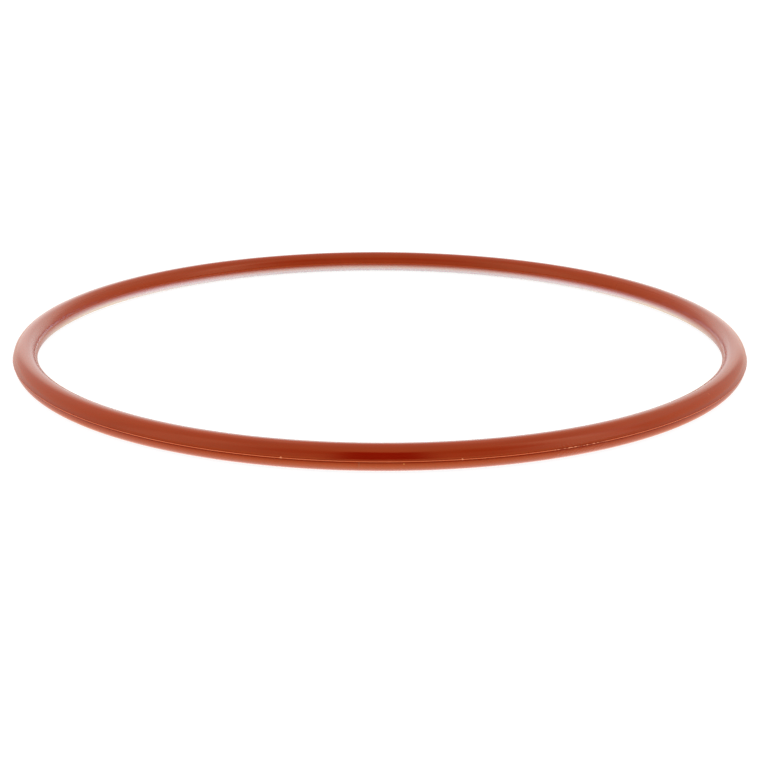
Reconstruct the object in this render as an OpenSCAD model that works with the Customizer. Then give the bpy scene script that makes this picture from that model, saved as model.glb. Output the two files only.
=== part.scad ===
// Moulded silicone O-ring, lying flat.
// One piece of brick-red rubber: a round cord closed on itself, pressed in a
// mould that splits at mid height. The two mould halves leave a thin web of
// flash on the parting line, round the outside and round the inside.
// The origin is the ring's centre in the parting plane, and +Z is its axis.
// All sizes are in millimetres and are those of the ring at rest, unstretched.

/* [Ring] */
// Inside diameter, from bare cord to bare cord across the hole
ring_inner_d = 158.12; // [50:0.01:400]
// Diameter of the round cord
cord_d = 5.33; // [2:0.01:8]

/* [Flash on the parting line] */
// Thickness of the flash, measured along the ring's axis
flash_t = 0.14; // [0.06:0.01:0.2]
// How far the flash stands out from the cord on the ring's outside
outer_flash_h = 0.12; // [0.06:0.01:0.3]
// How far the flash stands out from the cord on the ring's inside
inner_flash_h = 0.08; // [0.06:0.01:0.3]

/* [Hidden] */

// Radius of the cord
cord_r = cord_d / 2;
// Radius of the circle that the middle of the cord follows
centreline_r = ring_inner_d / 2 + cord_r;
// Directions in which the two lines of flash stand out from the cord
outward = 1;
inward = -1;
// Segments of the cord's section, of the flash's tip and of one turn of the ring
section_fn = 96;
tip_fn = 24;
ring_fn = 360;

// The round cord, cut through
module cord_section() {
    circle(r = cord_r, $fn = section_fn);
}

// One web of flash, from the middle of the cord to a full round tip
module flash_section(height, side) {
    tip_r = flash_t / 2;
    reach = cord_r + height - tip_r;
    translate([side > 0 ? 0 : -reach, -tip_r])
        square([reach, flash_t]);
    translate([side * reach, 0])
        circle(r = tip_r, $fn = tip_fn);
}

// The whole moulded section, as the mould's two halves close on it
module moulded_section() {
    cord_section();
    flash_section(outer_flash_h, outward);
    flash_section(inner_flash_h, inward);
}

// The section carried once round the ring's axis
module o_ring() {
    color("#A23C1E")
        rotate_extrude($fn = ring_fn)
            translate([centreline_r, 0])
                moulded_section();
}

o_ring();
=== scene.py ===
"""A moulded silicone O-ring lying flat on a white studio table.

One closed cord of brick-red rubber, 158.12 mm inside by 5.33 mm thick, with the thin
flash of its mould on the parting line. The parts follow in the order in which they
are set up: the camera, the table, the studio round it, and then the ring itself.
"""
import math

import bmesh
import bpy
from mathutils import Matrix, Vector, noise


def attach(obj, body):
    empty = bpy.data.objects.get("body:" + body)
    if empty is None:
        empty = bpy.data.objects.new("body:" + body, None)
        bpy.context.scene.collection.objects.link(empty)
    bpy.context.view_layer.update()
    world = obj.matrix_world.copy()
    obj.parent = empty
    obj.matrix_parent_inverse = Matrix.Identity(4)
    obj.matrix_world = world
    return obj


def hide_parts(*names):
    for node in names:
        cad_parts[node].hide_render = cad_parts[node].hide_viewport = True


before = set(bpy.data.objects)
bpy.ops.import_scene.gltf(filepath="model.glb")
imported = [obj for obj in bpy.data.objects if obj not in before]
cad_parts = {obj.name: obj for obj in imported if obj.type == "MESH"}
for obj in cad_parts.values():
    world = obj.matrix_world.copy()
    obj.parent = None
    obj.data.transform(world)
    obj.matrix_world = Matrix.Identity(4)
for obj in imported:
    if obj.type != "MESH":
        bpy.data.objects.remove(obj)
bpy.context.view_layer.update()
mm = 0.001
scene = bpy.context.scene
scene.view_settings.view_transform = "Standard"


# The camera stands 37 cm from the ring's centre, 16 degrees above the table, and
# looks at a point a little in front of the centre, so that the ring sits high in
# the frame. From there the near side of the cord looks half as thick again as the far.
camera_data = bpy.data.cameras.new("camera")
camera_data.sensor_width = 36.0
camera_data.lens = 74.644
camera_data.clip_start = 0.01
camera = bpy.data.objects.new("camera", camera_data)
camera.location = Vector((0.0, -357.93, 100.23)) * mm
looks_at = Vector((0.04, -33.18, 0.0)) * mm
aim = (looks_at - camera.location).to_track_quat("-Z", "Y").to_matrix().to_4x4()
camera.matrix_world = (
    Matrix.Translation(camera.location) @ aim @ Matrix.Rotation(math.radians(0.174), 4, "Z")
)
scene.collection.objects.link(camera)
scene.camera = camera


# The table is one wide sheet of white acrylic that runs on behind the ring as the
# backdrop. It looks plain white to the camera and keeps a faint shadow at the ring's
# foot. The glossy cord mirrors it, brightest along the foot and most of all at the
# back, where the light from behind lies on the table.
cord_d = 5.33 * mm
inner_d = 158.12 * mm
cord_r = cord_d / 2
mid_r = inner_d / 2 + cord_r


def linear(code):
    """A colour as the shaders take it, from its sRGB hex value."""
    parts = [int(code[i : i + 2], 16) / 255 for i in (1, 3, 5)]
    return tuple(p / 12.92 if p <= 0.04045 else ((p + 0.055) / 1.055) ** 2.4 for p in parts) + (1.0,)


def node(tree, kind, links=None, **settings):
    """Adds a node, sets its properties, and links or fills the inputs in links."""
    made = tree.nodes.new(kind)
    for name, value in settings.items():
        setattr(made, name, value)
    for name, value in (links or {}).items():
        if isinstance(value, bpy.types.NodeSocket):
            tree.links.new(value, made.inputs[name])
        else:
            made.inputs[name].default_value = value
    return made


def set_stops(ramp, stops):
    """Gives a ramp its stops, each a place from 0 to 1 and a colour."""
    for i, (place, colour) in enumerate(stops):
        stop = ramp.elements[i] if i < 2 else ramp.elements.new(place)
        stop.position = place
        stop.color = (*colour, 1.0)


acrylic = bpy.data.materials.new("white acrylic table")
acrylic.use_nodes = True
tree = acrylic.node_tree
tree.nodes.clear()
rays = node(tree, "ShaderNodeLightPath")
place = node(tree, "ShaderNodeTexCoord")
axes = node(tree, "ShaderNodeSeparateXYZ", {0: place.outputs["Object"]})
across = node(tree, "ShaderNodeVectorMath", {0: place.outputs["Object"]}, operation="LENGTH").outputs["Value"]
matt = node(tree, "ShaderNodeBsdfDiffuse", {"Color": linear("#F2F2F2")})

# What the camera sees: mostly plain white, and partly the lit acrylic with its shadow.
lift = node(tree, "ShaderNodeEmission", {"Color": linear("#FFFFFF"), "Strength": 1.22})
seen = node(tree, "ShaderNodeMixShader", {0: 0.75, 1: matt.outputs[0], 2: lift.outputs[0]})

# What the cord mirrors at first hand. Close to the ring the table is a little dim, and
# warm from the rubber, with a bright edge at the ring's front foot. Facing is 0 straight
# in front, 0.5 at the sides and 1 straight behind.
facing = node(tree, "ShaderNodeMath", {0: axes.outputs["Y"], 1: across}, operation="DIVIDE").outputs[0]
facing = node(tree, "ShaderNodeMath", {0: facing, 1: 0.5, 2: 0.5}, operation="MULTIPLY_ADD").outputs[0]
away = node(tree, "ShaderNodeMapRange", {
    "Value": across, "From Min": 92.0 * mm, "From Max": 104.0 * mm,
}).outputs["Result"]
outside = node(tree, "ShaderNodeMix", {
    "Factor": away, 6: (0.93, 0.75, 0.66, 1.0), 7: (0.97, 0.90, 0.85, 1.0),
}, data_type="RGBA").outputs[2]
near = node(tree, "ShaderNodeMapRange", {"Value": across, "From Min": 66.0 * mm, "From Max": 82.0 * mm})
inside = node(tree, "ShaderNodeValToRGB", {"Fac": near.outputs["Result"]})
set_stops(inside.color_ramp, (
    (0.0, (1.20, 1.10, 1.0)), (1.0, (1.06, 1.02, 1.0)), (0.45, (0.92, 0.62, 0.25)),
    (0.60, (0.92, 0.70, 0.48)), (0.70, (1.02, 0.92, 0.84)), (0.82, (1.06, 1.02, 1.04)),
))
inside = inside.outputs[0]
beyond = node(tree, "ShaderNodeMath", {0: across, 1: mid_r}, operation="GREATER_THAN").outputs[0]
base = node(tree, "ShaderNodeMix", {"Factor": beyond, 6: inside, 7: outside}, data_type="RGBA").outputs[2]
front = node(tree, "ShaderNodeValToRGB", {"Fac": facing})
set_stops(front.color_ramp, (
    (0.0, (1.45, 1.05, 1.08)), (1.0, (0.0, 0.0, 0.0)), (0.075, (1.08, 0.60, 0.52)),
    (0.15, (0.70, 0.20, 0.05)), (0.25, (0.30, 0.03, 0.0)), (0.35, (0.0, 0.0, 0.0)),
))
rise = node(tree, "ShaderNodeMapRange", {
    "Value": across, "From Min": 88.3 * mm, "From Max": 84.0 * mm,
}, interpolation_type="SMOOTHSTEP").outputs["Result"]
rise = node(tree, "ShaderNodeMath", {0: rise, 1: beyond}, operation="MULTIPLY").outputs[0]
base = node(tree, "ShaderNodeVectorMath", {
    0: front.outputs[0], 1: rise, 2: base,
}, operation="MULTIPLY_ADD").outputs[0]

# Inside, the light from behind pools along the foot of the far side. The rubber warms
# what it mirrors, so the pool is a little cold, to come back from it as white.
pool = node(tree, "ShaderNodeValToRGB", {"Fac": facing})
set_stops(pool.color_ramp, (
    (0.5, (0.0, 0.0, 0.0)), (1.0, (1.0, 1.0, 1.0)), (0.63, (0.33, 0.18, 0.07)),
    (0.75, (0.69, 0.49, 0.27)), (0.85, (0.86, 0.73, 0.57)), (0.935, (0.97, 0.88, 0.80)),
))
foot = node(tree, "ShaderNodeMapRange", {"Value": across, "From Min": 72.0 * mm, "From Max": 82.0 * mm})
depth = node(tree, "ShaderNodeValToRGB", {"Fac": foot.outputs["Result"]})
set_stops(depth.color_ramp, (
    (0.0, (0.0, 0.0, 0.0)), (1.0, (0.02, 0.01, 0.0)), (0.30, (0.03, 0.05, 0.15)),
    (0.50, (0.10, 0.18, 0.50)), (0.60, (0.16, 0.34, 0.92)), (0.70, (0.21, 0.45, 1.01)),
    (0.75, (0.21, 0.45, 0.88)), (0.80, (0.18, 0.34, 0.55)), (0.85, (0.12, 0.17, 0.23)),
    (0.90, (0.07, 0.08, 0.08)),
))
pool = node(tree, "ShaderNodeVectorMath", {0: pool.outputs[0], 1: depth.outputs[0]}, operation="MULTIPLY")
glow = node(tree, "ShaderNodeVectorMath", {
    0: pool.outputs[0], 1: (14.5, 17.0, 17.4), 2: base,
}, operation="MULTIPLY_ADD")
mirrored = node(tree, "ShaderNodeEmission", {"Color": glow.outputs[0], "Strength": 1.0})

direct = node(tree, "ShaderNodeMixShader", {
    0: rays.outputs["Is Camera Ray"], 1: matt.outputs[0], 2: seen.outputs[0],
})
first = node(tree, "ShaderNodeMath", {0: rays.outputs["Ray Depth"], 1: 1.5}, operation="LESS_THAN")
first = node(tree, "ShaderNodeMath", {
    0: first.outputs[0], 1: rays.outputs["Is Glossy Ray"],
}, operation="MULTIPLY")
surface = node(tree, "ShaderNodeMixShader", {
    0: first.outputs[0], 1: direct.outputs[0], 2: mirrored.outputs[0],
})
node(tree, "ShaderNodeOutputMaterial", {"Surface": surface.outputs[0]})

table_mesh = bmesh.new()
bmesh.ops.create_grid(table_mesh, x_segments=1, y_segments=1, size=4.0)
bmesh.ops.translate(table_mesh, verts=table_mesh.verts, vec=(0.0, 0.0, -cord_r))
table_data = bpy.data.meshes.new("table")
table_mesh.to_mesh(table_data)
table_mesh.free()
table_data.materials.append(acrylic)
table = bpy.data.objects.new("table", table_data)
scene.collection.objects.link(table)


# The studio is a white tent with even light from all round. Only the gloss of the cord
# shows how its walls differ: bright behind the ring, a cold softbox at each side, and
# dim where the camera stands. Each row is a heading in degrees, 0 behind the ring and 90
# to its right, with the light there at the table's height and above thirty degrees.
walls = (
    (-180, (0.85, 0.66, 0.60), (0.64, 0.48, 0.40)),
    (-160, (0.72, 0.63, 0.65), (0.56, 0.45, 0.38)),
    (-145, (0.74, 0.77, 0.90), (0.62, 0.59, 0.64)),
    (-130, (0.86, 0.99, 1.30), (0.86, 0.98, 1.26)),
    (-118, (1.10, 1.13, 1.46), (1.06, 1.15, 1.54)),
    (-106, (1.10, 1.14, 1.38), (1.14, 1.15, 1.42)),
    (-95, (0.95, 0.92, 0.96), (0.93, 0.91, 1.00)),
    (-80, (1.13, 0.92, 0.82), (1.06, 0.94, 0.88)),
    (-60, (1.12, 0.88, 0.74), (1.11, 0.90, 0.78)),
    (-45, (1.08, 0.85, 0.74), (1.10, 0.86, 0.73)),
    (-33, (1.07, 0.92, 0.85), (1.12, 0.84, 0.72)),
    (-24, (1.44, 1.42, 1.38), (1.30, 1.05, 0.92)),
    (-14, (1.54, 1.60, 1.60), (1.34, 1.09, 0.96)),
    (0, (1.41, 1.52, 1.54), (1.00, 0.70, 0.60)),
    (14, (1.50, 1.58, 1.56), (1.18, 1.00, 0.88)),
    (24, (1.39, 1.37, 1.31), (1.10, 0.94, 0.77)),
    (33, (0.96, 0.80, 0.70), (1.00, 0.87, 0.72)),
    (45, (1.06, 0.84, 0.71), (1.05, 0.91, 0.79)),
    (60, (1.13, 0.84, 0.67), (1.05, 0.95, 0.88)),
    (80, (1.17, 0.90, 0.74), (1.08, 1.06, 1.13)),
    (95, (1.01, 0.84, 0.80), (1.04, 1.05, 1.40)),
    (106, (1.28, 1.24, 1.66), (1.41, 1.58, 2.35)),
    (118, (1.24, 1.35, 1.90), (1.24, 1.34, 1.90)),
    (130, (1.00, 1.02, 1.42), (0.76, 0.66, 0.75)),
    (145, (0.74, 0.61, 0.58), (0.50, 0.42, 0.30)),
    (160, (0.73, 0.55, 0.52), (0.56, 0.46, 0.38)),
)
world = bpy.data.worlds.new("white tent")
scene.world = world
world.use_nodes = True
tree = world.node_tree
tree.nodes.clear()
rays = node(tree, "ShaderNodeLightPath")
heading = node(tree, "ShaderNodeTexCoord")
axes = node(tree, "ShaderNodeSeparateXYZ", {0: heading.outputs["Generated"]})
turn = node(tree, "ShaderNodeMath", {0: axes.outputs["X"], 1: axes.outputs["Y"]}, operation="ARCTAN2")
turn = node(tree, "ShaderNodeMath", {0: turn.outputs[0], 1: 0.5 / math.pi, 2: 0.5}, operation="MULTIPLY_ADD")
bands = []
for band in (1, 2):
    ramp = node(tree, "ShaderNodeValToRGB", {"Fac": turn.outputs[0]})
    ends = walls[0][band]
    stops = [(row[0] / 360 + 0.5, row[band]) for row in walls[1:]]
    set_stops(ramp.color_ramp, [(0.0, ends), (1.0, ends)] + stops)
    bands.append(ramp.outputs[0])
above = node(tree, "ShaderNodeMapRange", {
    "Value": axes.outputs["Z"], "From Min": 0.38, "From Max": 0.60,
}, interpolation_type="SMOOTHSTEP")
both = node(tree, "ShaderNodeMix", {
    "Factor": above.outputs["Result"], 6: bands[0], 7: bands[1],
}, data_type="RGBA")
upward = node(tree, "ShaderNodeMapRange", {
    "Value": axes.outputs["Z"], "From Min": 0.72, "From Max": 0.97,
}, interpolation_type="SMOOTHSTEP")
gloss = node(tree, "ShaderNodeMix", {
    "Factor": upward.outputs["Result"], 6: both.outputs[2], 7: linear("#E6E8EC"),
}, data_type="RGBA")
tent = node(tree, "ShaderNodeBackground", {"Color": linear("#FFFFFF"), "Strength": 1.0})
boxes = node(tree, "ShaderNodeBackground", {"Color": gloss.outputs[2], "Strength": 1.0})
light = node(tree, "ShaderNodeMixShader", {
    0: rays.outputs["Is Glossy Ray"], 1: tent.outputs[0], 2: boxes.outputs[0],
})
node(tree, "ShaderNodeOutputWorld", {"Surface": light.outputs[0]})


def panel(name, centre, size, colour, strength, soft, reach):
    """An upright panel with soft edges that shows only in gloss, and only within its reach."""
    glow = bpy.data.materials.new(name)
    glow.use_nodes = True
    tree = glow.node_tree
    tree.nodes.clear()
    place = node(tree, "ShaderNodeTexCoord")
    axes = node(tree, "ShaderNodeSeparateXYZ", {0: place.outputs["Object"]})
    fades = []
    for axis, half, fade in (("X", size[0] / 2, soft[0]), ("Y", size[1] / 2, soft[1])):
        away = node(tree, "ShaderNodeMath", {0: axes.outputs[axis]}, operation="ABSOLUTE")
        fades.append(node(tree, "ShaderNodeMapRange", {
            "Value": away.outputs[0], "From Min": half, "From Max": half * (1 - fade),
        }, interpolation_type="SMOOTHSTEP"))
    mask = node(tree, "ShaderNodeMath", {
        0: fades[0].outputs["Result"], 1: fades[1].outputs["Result"],
    }, operation="MULTIPLY")
    rays = node(tree, "ShaderNodeLightPath")
    near = node(tree, "ShaderNodeMath", {0: rays.outputs["Ray Length"], 1: reach}, operation="LESS_THAN")
    mask = node(tree, "ShaderNodeMath", {0: mask.outputs[0], 1: near.outputs[0]}, operation="MULTIPLY")
    clear = node(tree, "ShaderNodeBsdfTransparent")
    light = node(tree, "ShaderNodeEmission", {"Color": linear(colour), "Strength": strength})
    both = node(tree, "ShaderNodeMixShader", {0: mask.outputs[0], 1: clear.outputs[0], 2: light.outputs[0]})
    node(tree, "ShaderNodeOutputMaterial", {"Surface": both.outputs[0]})
    sheet = bmesh.new()
    bmesh.ops.create_grid(sheet, x_segments=1, y_segments=1, size=0.5)
    bmesh.ops.scale(sheet, verts=sheet.verts, vec=(size[0], size[1], 1.0))
    data = bpy.data.meshes.new(name)
    sheet.to_mesh(data)
    sheet.free()
    data.materials.append(glow)
    made = bpy.data.objects.new(name, data)
    made.location = centre
    made.rotation_euler = (math.pi / 2, 0.0, 0.0)
    made.visible_camera = False
    made.visible_diffuse = False
    made.visible_transmission = False
    made.visible_shadow = False
    scene.collection.objects.link(made)


# The table hides the lower half of each. The first stands behind the ring, and the
# second is the dark card before it that makes the dark window in the near side.
panel("back_panel", (0.0, 0.36, 0.0), (0.22, 0.34), "#EAF8FC", 1.87, (0.6, 0.45), 2.0)
panel("dark_card", (0.001, -0.127, 0.0), (0.056, 0.138), "#000000", 0.0, (0.64, 0.16), 0.12)


# The ring is silicone rubber pressed in a two-part mould. Its section is a circle,
# carried once round the axis. On the parting line, round the outside and the inside,
# stands a thin web of flash, uneven where the press squeezed it. It is torn at the front
# right, about this heading and for this many degrees to each side.
outer_flash_h = 0.12 * mm
inner_flash_h = 0.012 * mm
torn_at, torn_span = -63.0, 4.5
steps = 100
step = 2 * math.pi / steps

ring_mesh = bmesh.new()
section = bmesh.ops.create_circle(ring_mesh, cap_ends=False, segments=44, radius=cord_r)["verts"]
bmesh.ops.rotate(ring_mesh, verts=section, cent=(0, 0, 0), matrix=Matrix.Rotation(math.pi / 44, 3, "Z"))
bmesh.ops.rotate(ring_mesh, verts=section, cent=(0, 0, 0), matrix=Matrix.Rotation(math.pi / 2, 3, "X"))
bmesh.ops.translate(ring_mesh, verts=section, vec=(mid_r, 0.0, 0.0))
at_parting = [e for e in ring_mesh.edges if all(abs(v.co.z) < 0.2 * mm for v in e.verts)]
bmesh.ops.subdivide_edges(ring_mesh, edges=at_parting, cuts=8)


def flash_height(turn, side):
    """How far the flash stands out at this turn round the ring, 1 outside and -1 inside."""
    where = Vector((math.cos(turn), math.sin(turn), 2.0 * side))
    slow = noise.noise(where * 6.0)
    fine = noise.noise(where * 90.0)
    tall = outer_flash_h if side > 0 else inner_flash_h
    if side > 0 and abs(math.degrees(turn) - torn_at) < torn_span:
        return tall * (0.8 + 1.1 * noise.noise(where * 230.0))
    return tall * (0.85 + 0.3 * slow + 0.3 * fine)


# The section is spun in coarse steps, each step is cut into sixteen, and the cuts are
# set back on their circles.
bmesh.ops.spin(
    ring_mesh, geom=ring_mesh.verts[:] + ring_mesh.edges[:], cent=(0, 0, 0), axis=(0, 0, 1),
    angle=2 * math.pi, steps=steps, use_merge=True, use_normal_flip=False,
)
round_the_ring = [
    e for e in ring_mesh.edges
    if abs(e.verts[0].co.z - e.verts[1].co.z) < 0.001 * mm
    and abs(e.verts[0].co.xy.length - e.verts[1].co.xy.length) < 0.001 * mm
]
bmesh.ops.subdivide_edges(ring_mesh, edges=round_the_ring, cuts=15, use_grid_fill=True)
for v in ring_mesh.verts:
    off_middle = math.atan2(v.co.y, v.co.x) % step - step / 2
    v.co.xy *= math.cos(off_middle) / math.cos(step / 2)

# Where the flash stands on the section: the height on the cord and the share of the
# flash's own height, from the skin beside its root through its shoulder to its tip. The
# outer one has these heights and a sharp root. The inner one is worn to a low swelling.
profile = (
    (0.12, 0.17, 0.148, 0.0), (0.10, 0.12, 0.075, 0.0), (0.05, 0.10, 0.064, 0.85), (0.0, 0.05, 0.024, 1.0),
)
roots = set()
for v in ring_mesh.verts:
    level = abs(v.co.z)
    for low, high, height, share in profile:
        if low * mm <= level < high * mm and abs(v.co.xy.length - mid_r) > 0.5 * cord_r:
            side = 1 if v.co.xy.length > mid_r else -1
            if side > 0:
                level = height * mm
            reach = share * flash_height(math.atan2(v.co.y, v.co.x), side)
            reach += math.sqrt(cord_r ** 2 - level ** 2)
            out = v.co.xy.normalized() * (mid_r + side * reach)
            v.co = Vector((out.x, out.y, math.copysign(level, v.co.z)))
            if side > 0 and height == 0.075:
                roots.add(v)
            break
bmesh.ops.recalc_face_normals(ring_mesh, faces=ring_mesh.faces[:])
for f in ring_mesh.faces:
    f.smooth = True
for e in ring_mesh.edges:
    if e.verts[0] in roots and e.verts[1] in roots:
        e.smooth = False

# Moulded silicone keeps the polish of its mould. Its gloss is warm, because the light
# goes a little way into the rubber before it comes back, and a faint bloom on the skin
# adds a soft red sheen at a low angle.
silicone = bpy.data.materials.new("moulded red silicone rubber")
silicone.use_nodes = True
tree = silicone.node_tree
tree.nodes.clear()
place = node(tree, "ShaderNodeTexCoord")
axes = node(tree, "ShaderNodeSeparateXYZ", {0: place.outputs["Object"]})

# Painted highlight: the thin flash is coloured paler than the cord, in uneven runs, standing in
# for the light it lets through and catches. Painted shade: at each side of its root the cord is
# coloured darker, standing in for the shade the flash casts, and the band is a little wider below.
level = node(tree, "ShaderNodeMath", {0: axes.outputs["Z"]}, operation="ABSOLUTE").outputs[0]
flash_highlight_mask = node(tree, "ShaderNodeMapRange", {
    "Value": level, "From Min": 0.09 * mm, "From Max": 0.07 * mm,
}).outputs["Result"]
# Painted shade beside the flash's root, reaching further below it than above.
lower = node(tree, "ShaderNodeMath", {0: axes.outputs["Z"], 1: 0.07 * mm}, operation="ADD")
lower = node(tree, "ShaderNodeMath", {0: lower.outputs[0]}, operation="ABSOLUTE")
beside = node(tree, "ShaderNodeMapRange", {
    "Value": lower.outputs[0], "From Min": 0.34 * mm, "From Max": 0.18 * mm,
}, interpolation_type="SMOOTHSTEP").outputs["Result"]
painted_crease_shade = node(tree, "ShaderNodeMath", {0: beside, 1: flash_highlight_mask}, operation="SUBTRACT", use_clamp=True)

# The painted highlight and painted shade are both made faint on the inside, and fade a little from the front
# to the sides.
flat = node(tree, "ShaderNodeVectorMath", {
    0: place.outputs["Object"], 1: (1 / mm, 1 / mm, 0.0),
}, operation="MULTIPLY")
out = node(tree, "ShaderNodeVectorMath", {0: flat.outputs[0]}, operation="LENGTH")
outer = node(tree, "ShaderNodeMath", {0: out.outputs["Value"], 1: mid_r / mm}, operation="GREATER_THAN")
mark_strength = node(tree, "ShaderNodeMapRange", {
    "Value": axes.outputs["Y"], "From Min": -20 * mm, "From Max": -60 * mm, "To Min": 0.45, "To Max": 1.0,
}, interpolation_type="SMOOTHSTEP")
mark_strength = node(tree, "ShaderNodeMix", {"Factor": outer.outputs[0], 2: 0.18, 3: mark_strength.outputs["Result"]})
flash_highlight_mask = node(tree, "ShaderNodeMath", {0: flash_highlight_mask, 1: mark_strength.outputs[0]}, operation="MULTIPLY").outputs[0]
painted_crease_shade = node(tree, "ShaderNodeMath", {0: painted_crease_shade.outputs[0], 1: mark_strength.outputs[0]}, operation="MULTIPLY")

# Lengths in millimetres across the cord, and along it thirty times shorter, so that
# the noise drawn on them runs along the cord as the streaks of the mould's turning do.
# The streaks are 0.6 mm wide and the grain is 0.5 mm, both drawn several times coarser
# than the real ones so that they show. The runs of the flash are 6 mm long.
turn = node(tree, "ShaderNodeMath", {0: axes.outputs["Y"], 1: axes.outputs["X"]}, operation="ARCTAN2")
along = node(tree, "ShaderNodeMath", {0: turn.outputs[0], 1: mid_r / mm / 30}, operation="MULTIPLY")
up = node(tree, "ShaderNodeMath", {0: axes.outputs["Z"], 1: 1 / mm}, operation="MULTIPLY")
lengths = node(tree, "ShaderNodeCombineXYZ", {0: out.outputs["Value"], 1: up.outputs[0], 2: along.outputs[0]})
streaks = node(tree, "ShaderNodeTexNoise", {"Vector": lengths.outputs[0], "Scale": 1.6, "Detail": 4.0})
runs = node(tree, "ShaderNodeTexNoise", {"Vector": place.outputs["Object"], "Scale": 160.0, "Detail": 3.0})
grain = node(tree, "ShaderNodeTexNoise", {"Vector": place.outputs["Object"], "Scale": 2200.0, "Detail": 2.0})

# Where the flash was torn off at the front right, nibs and gaps take its place, and
# the skin below them is gritty. The nibs carry the flash's painted highlight, paler still.
degrees = node(tree, "ShaderNodeMath", {0: turn.outputs[0]}, operation="DEGREES")
torn = node(tree, "ShaderNodeMath", {0: degrees.outputs[0], 1: torn_at}, operation="SUBTRACT")
torn = node(tree, "ShaderNodeMath", {0: torn.outputs[0]}, operation="ABSOLUTE")
torn = node(tree, "ShaderNodeMapRange", {
    "Value": torn.outputs[0], "From Min": torn_span, "From Max": torn_span - 1.0,
}).outputs["Result"]
nibs = node(tree, "ShaderNodeTexNoise", {"Vector": place.outputs["Object"], "Scale": 1500.0, "Detail": 1.0})
nibs = node(tree, "ShaderNodeMapRange", {
    "Value": nibs.outputs[0], "From Min": 0.46, "From Max": 0.58, "To Min": 0.1,
})
kept = node(tree, "ShaderNodeMix", {"Factor": torn, 2: 1.0, 3: nibs.outputs["Result"]})
flash_highlight_mask = node(tree, "ShaderNodeMath", {0: flash_highlight_mask, 1: kept.outputs[0]}, operation="MULTIPLY").outputs[0]
below = node(tree, "ShaderNodeMath", {0: axes.outputs["Z"], 1: 0.5 * mm}, operation="ADD")
below = node(tree, "ShaderNodeMath", {0: below.outputs[0]}, operation="ABSOLUTE")
below = node(tree, "ShaderNodeMapRange", {
    "Value": below.outputs[0], "From Min": 1.6 * mm, "From Max": 1.0 * mm,
}).outputs["Result"]
grit = node(tree, "ShaderNodeMath", {0: torn, 1: below}, operation="MULTIPLY")
grit = node(tree, "ShaderNodeMath", {0: grit.outputs[0], 1: 16.0, 2: 1.0}, operation="MULTIPLY_ADD")
grain = node(tree, "ShaderNodeMath", {0: grain.outputs[0], 1: grit.outputs[0]}, operation="MULTIPLY")

body = node(tree, "ShaderNodeMix", {
    "Factor": runs.outputs[0], 6: linear("#860C01"), 7: linear("#911102"),
}, data_type="RGBA")
# Painted highlight: the flash's colours are paler than the cord's, standing in for the light it lets through
# and catches.
web = node(tree, "ShaderNodeMix", {
    "Factor": runs.outputs[0], 6: linear("#C44E2C"), 7: linear("#EC7A52"),
}, data_type="RGBA")
# The painted crease shade darkens the body colour beside the flash.
body_with_crease_shade = node(tree, "ShaderNodeMix", {
    "Factor": painted_crease_shade.outputs[0], 6: body.outputs[2], 7: linear("#821A04"),
}, data_type="RGBA")
# Painted highlight on the torn nibs, paler than on the rest of the flash.
web = node(tree, "ShaderNodeMix", {
    "Factor": torn, 6: web.outputs[2], 7: linear("#F79A72"),
}, data_type="RGBA")
colour = node(tree, "ShaderNodeMix", {
    "Factor": flash_highlight_mask, 6: body_with_crease_shade.outputs[2], 7: web.outputs[2],
}, data_type="RGBA")

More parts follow.
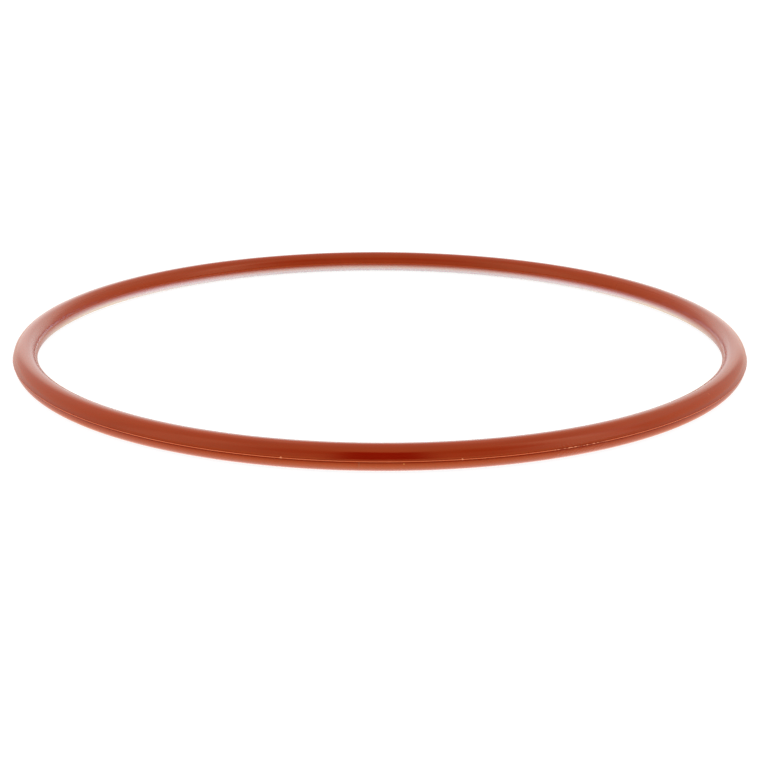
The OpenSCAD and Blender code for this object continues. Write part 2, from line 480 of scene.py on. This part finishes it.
# Pale specks on the skin and the flash, and one grey tick below the flash, each by its
# place and radius in millimetres.
for spot, radius, shade in (
    ((4.5, -84.2, -0.5), 0.17, "#C07840"), ((15.4, -83.1, 0.05), 0.24, "#F59A70"),
    ((-18.4, -82.5, 0.05), 0.28, "#F59A70"), ((54.7, -60.7, 2.6), 0.30, "#A03C24"),
    ((56.4, -59.5, 2.6), 0.25, "#A03C24"), ((58.5, -58.0, 2.5), 0.30, "#A03C24"),
    ((67.7, -48.8, 2.0), 0.30, "#A03C24"), ((-3.8, -84.3, -0.3), 0.18, "#7A3028"),
    ((-3.8, -84.2, -0.6), 0.18, "#7A3028"), ((-3.8, -84.1, -0.9), 0.18, "#7A3028"),
    ((-3.8, -84.0, -1.2), 0.18, "#7A3028"),
):
    away = node(tree, "ShaderNodeVectorMath", {
        0: place.outputs["Object"], 1: Vector(spot) * mm,
    }, operation="DISTANCE")
    speck = node(tree, "ShaderNodeMapRange", {
        "Value": away.outputs["Value"], "From Min": radius * mm, "From Max": 0.6 * radius * mm,
    })
    colour = node(tree, "ShaderNodeMix", {
        "Factor": speck.outputs["Result"], 6: colour.outputs[2], 7: linear(shade),
    }, data_type="RGBA")
# The painted crease shade also darkens the gloss tint beside the flash.
gloss = node(tree, "ShaderNodeMix", {
    "Factor": painted_crease_shade.outputs[0], 6: linear("#FFAF65"), 7: linear("#7C532C"),
}, data_type="RGBA")
polish = node(tree, "ShaderNodeMapRange", {"Value": streaks.outputs[0], "To Min": 0.06, "To Max": 0.18})

# The inner skin is duller at both sides, where it mirrors the ring itself only as a blur.
inward = node(tree, "ShaderNodeMapRange", {
    "Value": out.outputs["Value"], "From Min": mid_r / mm - 0.8, "From Max": mid_r / mm - 2.0,
}, interpolation_type="SMOOTHSTEP").outputs["Result"]
sideways = node(tree, "ShaderNodeMath", {0: axes.outputs["Y"]}, operation="ABSOLUTE")
sideways = node(tree, "ShaderNodeMapRange", {
    "Value": sideways.outputs[0], "From Min": 75 * mm, "From Max": 45 * mm,
}, interpolation_type="SMOOTHSTEP").outputs["Result"]
dull = node(tree, "ShaderNodeMath", {0: inward, 1: sideways}, operation="MULTIPLY")
polish = node(tree, "ShaderNodeMix", {"Factor": dull.outputs[0], 2: polish.outputs["Result"], 3: 0.28})
lines = node(tree, "ShaderNodeBump", {
    "Strength": 1.0, "Distance": 0.02 * mm, "Height": streaks.outputs[0],
})
skin = node(tree, "ShaderNodeBump", {
    "Strength": 1.0, "Distance": 0.004 * mm, "Height": grain.outputs[0], "Normal": lines.outputs[0],
})
shader = node(tree, "ShaderNodeBsdfPrincipled", {
    "Base Color": colour.outputs[2], "Roughness": polish.outputs[0], "IOR": 1.63,
    "Specular IOR Level": 1.0, "Specular Tint": gloss.outputs[2],
    "Sheen Weight": 0.08, "Sheen Roughness": 0.8, "Sheen Tint": linear("#FF4A18"),
    "Normal": skin.outputs[0],
})
node(tree, "ShaderNodeOutputMaterial", {"Surface": shader.outputs[0]})

ring_data = bpy.data.meshes.new("moulded_ring")
ring_mesh.to_mesh(ring_data)
ring_mesh.free()
ring_data.materials.append(silicone)
ring = bpy.data.objects.new("moulded_ring", ring_data)
scene.collection.objects.link(ring)
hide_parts("o_ring")
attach(ring, "root")
